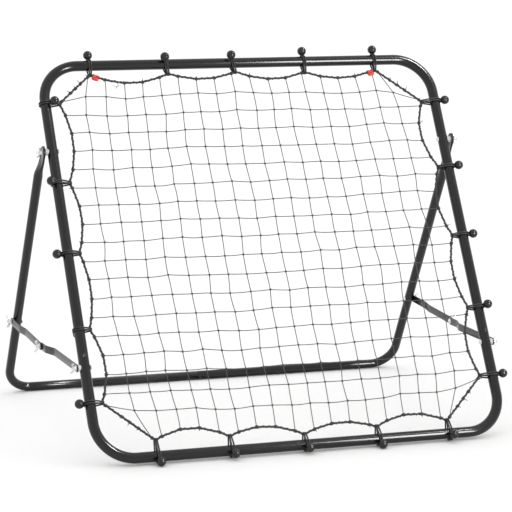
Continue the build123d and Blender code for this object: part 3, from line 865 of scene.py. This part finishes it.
def make_screws(node, body, places, facing, tube):
    """The round-headed screws of a tube's joints: a raised rim round a shallow dished recess."""
    screws = Skin()
    head = [
        (-0.6, 0.3), (-0.6, 4.3), (0.6, 4.5), (1.2, 4.4), (1.75, 4.05), (2.1, 3.5), (2.2, 3.0),
        (2.1, 2.55), (1.8, 2.2), (1.3, 2.0), (1.0, 1.5), (0.9, 0.3),
    ]
    for place in places:
        screws.add(turned(place + facing * tube / 2 * MM, facing, head, 24))
    screws.make(f"{node}_turned", SCREW, body, "black_screws", node)


def make_washer(name, body, place, inner, side):
    """A flat washer, stamped: its edges are slightly rounded."""
    hole = BOLT_RADIUS + 0.15
    rim = 0.25
    profile = [
        (rim, hole), (0, hole + rim), (0, WASHER_RADIUS - rim), (rim, WASHER_RADIUS),
        (WASHER - rim, WASHER_RADIUS), (WASHER, WASHER_RADIUS - rim), (WASHER, hole + rim),
        (WASHER - rim, hole),
    ]
    disc = Skin()
    disc.add(turned(side_view(place, side * inner), outward(side), profile, 36), round_trip=True)
    disc.make(f"{name}_stamped", ZINC, body, "zinc", name)


def make_wing_nut(name, body, place, inner, side, turn):
    """A cast wing nut: a tapered boss and two ears that thin towards their rounded tips."""
    nut = Skin()
    base = side_view(place, side * inner)
    axis = outward(side)
    bore = BOLT_RADIUS + 0.1
    boss = [
        (0.4, bore), (0, bore + 0.4), (0, NUT_BASE - 0.5), (0.4, NUT_BASE), (1.4, NUT_BASE),
        (NUT_HEIGHT - 0.8, NUT_TIP), (NUT_HEIGHT, NUT_TIP - 0.6), (NUT_HEIGHT, bore + 0.4),
        (NUT_HEIGHT - 0.4, bore),
    ]
    nut.add(turned(base, axis, boss, 32), round_trip=True)
    radial = np.array((0, cos(radians(turn)), side * sin(radians(turn))))
    square = np.cross(axis, radial)
    share = np.linspace(0, 1, 15)
    out = WING_ROOT + (WING_REACH - WING_ROOT) * share
    rise = WING_ROOT + (WING_LENGTH - WING_ROOT - WING_TIP) * share ** 1.25
    close = np.sqrt(np.clip(1 - share ** 7, 0.015, 1))
    half_tall = (2.6 + 1.1 * share) * close
    half_thick = (1.75 - 0.6 * share) * close
    angles = tau * np.arange(14) / 14
    tall = np.sign(np.sin(angles)) * np.abs(np.sin(angles)) ** 0.8
    thick = np.sign(np.cos(angles)) * np.abs(np.cos(angles)) ** 0.8
    for way in (1, -1):
        rings = []
        for i in range(len(share)):
            lean = np.array((0.35, 0.94))
            middle = base + (way * out[i] * radial + rise[i] * axis) * MM
            up = (-way * lean[0] * radial + lean[1] * axis) * half_tall[i] * MM
            wide = square * half_thick[i] * MM
            rings.append(middle + tall[:, None] * up + thick[:, None] * wide)
        nut.add(rings)
    nut.make(f"{name}_cast", ZINC, body, "zinc", name)


def make_fasteners(name, side):
    """All bolts, washers and wing nuts of one side."""
    tube_face = HOOP_WIDTH / 2 - HOOP_TUBE / 2
    leg_face = STAND_HALF - STAND_TUBE / 2
    plate = STAND_HALF - PLATE_INSET + PLATE_HALF_THICK
    mid = MID_BAR_OFFSET + BAR_THICK + BAR_GAP + BAR_THICK / 2
    seats = {
        "pivot": (plate + BAR_GAP, tube_face, "front_frame"),
        "brace_front": (FRONT_BAR_OFFSET + BAR_THICK / 2 + BAR_GAP, tube_face, "front_frame"),
        "brace_mid": (mid + BAR_GAP, None, f"{name}_rear_bar"),
        "brace_rear": (REAR_BAR_OFFSET + BAR_THICK / 2 + BAR_GAP, leg_face, "rear_stand"),
    }
    for joint, (washer_face, head_face, body) in seats.items():
        node = f"{name}_{joint}"
        nut_face = washer_face + WASHER + NUT_CLEARANCE
        past = WING_LENGTH + 0.2 if joint == "pivot" else NUT_HEIGHT + THREAD_PAST_NUT
        tip = nut_face + past
        make_washer(f"{node}_washer", body, PINS[joint], washer_face, side)
        nut = f"{node}_wing_nut"
        make_wing_nut(nut, nut, PINS[joint], nut_face, side, NUT_TURNS[joint])
        if head_face is None:
            inner = MID_BAR_OFFSET - BAR_THICK / 2
            end = inner + BAR_THICK
            start = end + BAR_GAP
            make_bolt(f"{node}_bolt", f"{name}_front_bar", PINS[joint], inner, end, side)
            make_bolt(f"{node}_stud", body, PINS[joint], start, tip, side, headed=False)
        else:
            make_bolt(f"{node}_bolt", body, PINS[joint], head_face, tip, side)


# Legs and bars

def pressed_section(flat, half_width):
    """A leg's outline where it is pressed: a round tube at 0, a plate with raised rims at 1."""
    angles = tau * np.arange(40) / 40
    wide, thin = np.cos(angles), np.sin(angles)
    rim = np.abs(wide)
    thickness = PLATE_HALF_THICK + PLATE_RIM * eased((rim - 0.55) / 0.35)
    thickness = thickness * np.sqrt(1 - np.clip(rim, 0, 0.999) ** 10)
    plate = np.sign(thin) * thickness * np.minimum(1, 6 * np.abs(thin))
    radius = STAND_TUBE / 2
    across = radius * wide * (1 - flat) + half_width * wide * flat
    through = radius * thin * (1 - flat) + plate * flat
    return across, through


def leg_path(side):
    """A leg's middle line from its top to the seam, with how far each point is pressed flat."""
    steps = []
    for drop in (-14.9, -14.2, -12.8, -10.5, -7.5, -4, 0, 7, 14, *range(20, 69, 6)):
        flat = 1 - eased((drop - PLATE_DROP) / PLATE_FLARE)
        half_width = sqrt(PLATE_HALF ** 2 - min(drop, 0) ** 2)
        across = STAND_HALF - PLATE_INSET * flat
        steps.append((across, drop, float(flat), half_width))
    corner = (STAND_HALF - STAND_CORNER, LEG_LENGTH - STAND_CORNER)
    steps.append((STAND_HALF, corner[1], 0.0, PLATE_HALF))
    for angle in np.linspace(0, pi / 2, 19)[1:]:
        across = corner[0] + STAND_CORNER * cos(angle)
        steps.append((across, corner[1] + STAND_CORNER * sin(angle), 0.0, PLATE_HALF))
    steps.append((LEG_SEAM * side, LEG_LENGTH, 0.0, PLATE_HALF))
    return steps


def make_leg(name, side):
    """Half of the stand: its pressed end flows into the tube, which bends round to the seam."""
    leg = Skin()
    steps = leg_path(side)
    line = np.array([side_view(PIVOT, side * x) + LEG_DOWN * drop * MM for x, drop, _, _ in steps])
    first, second = frames(line, LEG_FRONT)
    rings = []
    for i, (_, _, flat, half_width) in enumerate(steps):
        across, through = pressed_section(flat, half_width)
        rings.append(line[i] + (across[:, None] * first[i] + through[:, None] * second[i]) * MM)
    leg.add(rings)
    leg.make(f"{name}_pressed_leg", COAT, "rear_stand", "stand", f"{name}_leg")


def make_bar(name, start, end, outline, side):
    """A flat bar with rounded ends and edges, bent across the object to an outline of distance
    from its start and offset."""
    run = np.array(end - start)
    length = np.linalg.norm(run) / MM
    run /= np.linalg.norm(run)
    up = np.cross(ACROSS, run)
    end_marks = [-8.98, -8.8, -8.2, -7, -5, -2.6, 0]
    bend_marks = [at + d for at, _ in outline[1:-1] for d in (-3, -1, 1, 3)]
    marks = end_marks + bend_marks + [length - mark for mark in end_marks[::-1]]
    corners_at, corners_offset = zip(*outline)
    rings = []
    half = BAR_THICK / 2
    for at in marks:
        offset = np.mean([np.interp(at + d, corners_at, corners_offset) for d in (-2, 0, 2)])
        past = max(0.0, -at, at - length)
        reach = sqrt(BAR_HALF_WIDTH ** 2 - past ** 2)
        edge = min(BAR_EDGE, reach * 0.4)
        ring = [
            (reach - edge, half), (reach - edge * 0.3, half - edge * 0.3), (reach, half - edge),
            (reach, edge - half), (reach - edge * 0.3, edge * 0.3 - half), (reach - edge, -half),
            (edge - reach, -half), (edge * 0.3 - reach, edge * 0.3 - half), (-reach, edge - half),
            (-reach, half - edge), (edge * 0.3 - reach, half - edge * 0.3), (edge - reach, half),
        ]
        centre = side_view(start, side * offset) + run * at * MM
        rings.append([centre + (tall * up + thick * ACROSS) * MM for tall, thick in ring])
    bar = Skin()
    bar.add(rings)
    bar.make(f"{name}_strip", STRIP, name, "bars", name)


def make_bars(name, side):
    """The two bars of a brace."""
    reach = (PINS["brace_mid"] - PINS["brace_front"]).length / MM
    outline = [
        (-20, FRONT_BAR_OFFSET), (reach - FRONT_JOGGLE[0], FRONT_BAR_OFFSET),
        (reach - FRONT_JOGGLE[1], MID_BAR_OFFSET), (reach + 20, MID_BAR_OFFSET),
    ]
    make_bar(f"{name}_front_bar", PINS["brace_front"], PINS["brace_mid"], outline, side)
    outer = MID_BAR_OFFSET + BAR_THICK + BAR_GAP
    reach = (PINS["brace_mid"] - PINS["brace_rear"]).length / MM
    outline = [
        (-20, REAR_BAR_OFFSET), (REAR_JOGGLE[0], REAR_BAR_OFFSET),
        (REAR_JOGGLE[1], outer), (reach + 20, outer),
    ]
    make_bar(f"{name}_rear_bar", PINS["brace_rear"], PINS["brace_mid"], outline, side)


# Small trims

def make_red_ties():
    """The two red clips on the edge rope, beside the top corner bungees: a barrel that is snapped
    round the rope, and the rolled tab that hangs under it."""
    clips = Skin()
    for side, tie in ((-1, TIES["top"][0][0]), (1, TIES["top"][-1][0])):
        place = tie - side * CLIP_SHIFT
        spot, run = rope_at(side_place("top", place, rope_depth("top", place)))
        axis = run[0] * ACROSS + run[1] * UP
        barrel = [
            (-7.6, 3.5), (-8, 3.9), (-8, 4.6), (-7.4, 5.0), (-5.2, 5.0), (-4.8, 4.6), (4.8, 4.6),
            (5.2, 5.0), (7.4, 5.0), (8, 4.6), (8, 3.9), (7.6, 3.5),
        ]
        clips.add(turned(on_hoop(spot)[0], axis, barrel, 24), round_trip=True)
        down = np.array((run[1], -run[0]))
        roll = [
            (-8.6, 0.4), (-8.3, 1.6), (-7.4, 2.8), (-5.8, 3.6), (-3, 3.9), (3, 3.9), (5.8, 3.6),
            (7.4, 2.8), (8.3, 1.6), (8.6, 0.4),
        ]
        clips.add(turned(on_hoop(spot + 7.2 * down, 1.0)[0], axis, roll, 24))
    clips.make("red_rope_clips", RED_PLASTIC, "front_frame", "red", "red_ties")


def make_pale_thread():
    """A short pale thread that is tied to the edge rope at the top left, with its bow."""
    thread = Skin()
    knot = np.array((-319, 922))
    hang = on_hoop([(-312, 934), (-314, 930), (-317, 926), knot], 3.5)
    thread.add(cord_rings(evenly(hang, 2 * MM), 0.7, 6, FORWARD))
    for tip in ((-9, 2.5), (7, 4), (-3, -6)):
        bend = knot + np.array(tip) * 0.5 + np.array((0, -1.5))
        tail = on_hoop([knot, bend, knot + np.array(tip)], 3.5)
        thread.add(cord_rings(evenly(tail, 1.5 * MM), 0.65, 6, FORWARD))
    thread.add(pretzel(knot, 2.2, 0.7, 0.3))
    thread.make("pale_tied_thread", PALE_TWINE, "front_frame", "rope")


def coat_cad_nodes():
    """Gives each CAD node that stays its own finish."""
    finishes = {
        "_tube": COAT,
        "_joint_sleeve": SLEEVE,
        "_spacer": NYLON,
    }
    for name, node in frame["nodes"].items():
        for ending, material in finishes.items():
            if name.endswith(ending):
                for slot in node.material_slots:
                    slot.material = material


# Studio

def softbox(name, place, target, width, height, power):
    """A soft rectangular light that faces a target. Only gloss shows it, so it leaves the floor as
    even as the surround does."""
    light = bpy.data.lights.new(name, "AREA")
    light.shape = "RECTANGLE"
    light.size, light.size_y, light.energy = width, height, power
    lamp = bpy.data.objects.new(name, light)
    lamp.location = place
    lamp.rotation_euler = (Vector(target) - Vector(place)).to_track_quat("-Z", "Y").to_euler()
    lamp.visible_camera = False
    lamp.visible_diffuse = False
    bpy.context.scene.collection.objects.link(lamp)


def make_studio():
    """A pale floor, a white surround and two softboxes. In the gloss of the coat, the front of the
    room is darker than the white behind the object."""
    reach = FLOOR_REACH
    mesh = bpy.data.meshes.new("floor")
    corners = [(-reach, -reach, 0), (reach, -reach, 0), (reach, reach, 0), (-reach, reach, 0)]
    mesh.from_pydata(corners, [], [(0, 1, 2, 3)])
    mesh.materials.append(PAPER)
    floor = bpy.data.objects.new("floor", mesh)
    bpy.context.scene.collection.objects.link(floor)
    world = bpy.data.worlds.new("studio")
    world.use_nodes = True
    tree = world.node_tree
    way = add_node(tree, "ShaderNodeTexCoord")
    parts = add_node(tree, "ShaderNodeSeparateXYZ", links={"Vector": (way, "Generated")})
    edges = {"From Min": 0.1, "From Max": -0.9, "To Max": ROOM_DIM}
    room = add_node(tree, "ShaderNodeMapRange", edges, {"Value": (parts, "Y")})
    ray = add_node(tree, "ShaderNodeLightPath")
    links = {0: (room, "Result"), 1: (ray, "Is Glossy Ray")}
    dim = add_node(tree, "ShaderNodeMath", links=links, operation="MULTIPLY")
    links = {1: (dim, "Value")}
    left = add_node(tree, "ShaderNodeMath", {0: SURROUND}, links, operation="SUBTRACT")
    tree.links.new(left.outputs[0], tree.nodes["Background"].inputs["Strength"])
    tree.nodes["Background"].inputs["Color"].default_value = (1, 1, 1, 1)
    bpy.context.scene.world = world
    for name, settings in SOFTBOXES.items():
        softbox(name, *settings)
    bpy.context.scene.view_settings.view_transform = "Standard"


def make_camera():
    """The camera, in front of the object, to its left and a little above it."""
    yaw, pitch, roll = CAMERA_YAW, CAMERA_PITCH, CAMERA_ROLL
    ahead = Vector((sin(yaw) * cos(pitch), cos(yaw) * cos(pitch), -sin(pitch)))
    right = Vector((cos(yaw), -sin(yaw), 0))
    upward = right.cross(ahead)
    side = right * cos(roll) + upward * sin(roll)
    top = upward * cos(roll) - right * sin(roll)
    camera = bpy.data.objects.new("camera", bpy.data.cameras.new("camera"))
    camera.data.lens = CAMERA_LENS
    camera.data.sensor_width = 36
    turn = Matrix((side, top, -ahead)).transposed().to_4x4()
    camera.matrix_world = Matrix.Translation(CAMERA_PLACE) @ turn
    camera.data.clip_end = 100
    bpy.context.scene.collection.objects.link(camera)
    bpy.context.scene.camera = camera


make_camera()
make_studio()
coat_cad_nodes()
make_net()
make_edge_rope()
for side_of_hoop in ("left", "top", "right", "bottom"):
    make_bungees(side_of_hoop)
for side_name, side_sign in SIDES:
    make_leg(side_name, side_sign)
    make_bars(side_name, side_sign)
    make_fasteners(side_name, side_sign)
make_screws("frame_joint_screws", "front_frame", on_hoop(HOOP_SCREWS), FORWARD, HOOP_TUBE)
stand_screws = [side_view(FOOT, x) for x in STAND_SCREWS]
make_screws("stand_joint_screws", "rear_stand", stand_screws, LEG_FRONT, STAND_TUBE)
make_red_ties()
make_pale_thread()
